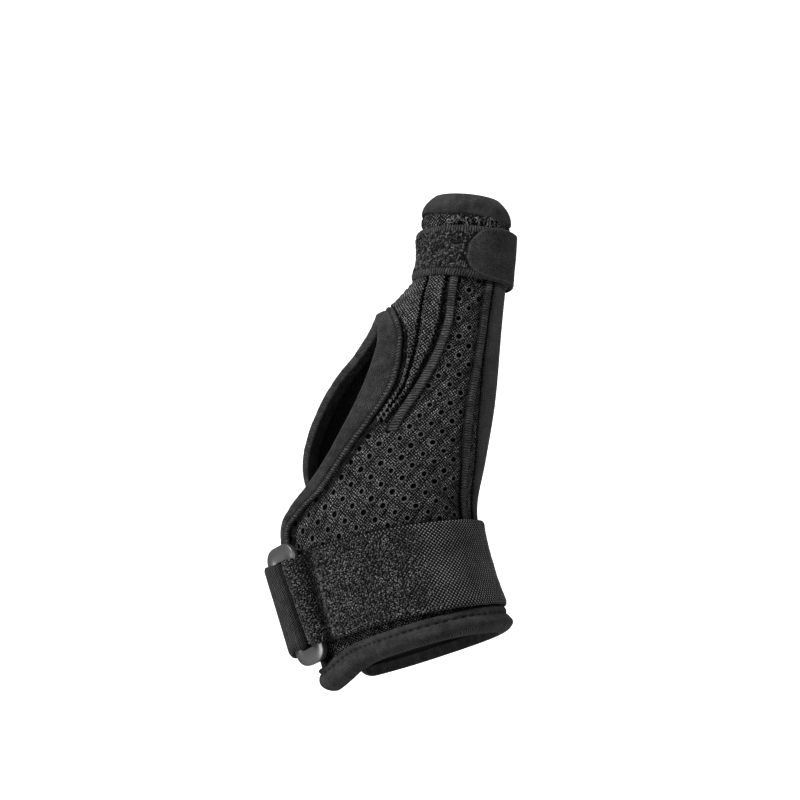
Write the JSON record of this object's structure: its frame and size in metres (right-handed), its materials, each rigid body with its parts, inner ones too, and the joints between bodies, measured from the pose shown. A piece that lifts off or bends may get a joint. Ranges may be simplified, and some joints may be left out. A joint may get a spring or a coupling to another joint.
{
  "type": "thumb spica splint",
  "caption": "Soft wrist and thumb splint: a padded mesh shell with a thumb tube, bound edges, a ringed wrist strap and a thumb strap with a hook tab.",
  "frame": {"origin": "centre of the wrist opening, at the middle of the wrist strap", "axes": "+Z from the wrist towards the hand, +X towards the thumb's side, -Y towards the back of the hand"},
  "size_m": [0.1195, 0.0703, 0.1649],
  "materials": {
    "padded_mesh": "charcoal spacer mesh with punched holes",
    "binding_tape": "smooth stretch binding",
    "pleat_cloth": "plain knit, overlocked",
    "seam_tape": "ribbed tape",
    "pocket_twill": "ribbed twill",
    "loop_strap": "brushed loop pile",
    "elastic_webbing": "ribbed elastic",
    "hook_felt": "fine matte felt",
    "ring_plastic": "satin dark grey"
  },
  "bodies": {
    "root": {"mesh_body": "padded_mesh", "edge_binding": "binding_tape", "hem_binding": "binding_tape", "thumb_binding": "binding_tape", "pleat_a": "pleat_cloth", "pleat_b": "pleat_cloth", "curved_tape": "seam_tape", "stay_tape": "seam_tape", "stay_pocket": "pocket_twill", "wrist_strap": "loop_strap", "ring_webbing": "elastic_webbing", "thumb_loop_strap": "loop_strap", "thumb_hook_tab": "hook_felt", "strap_ring": "ring_plastic"}
  },
  "joints": []
}
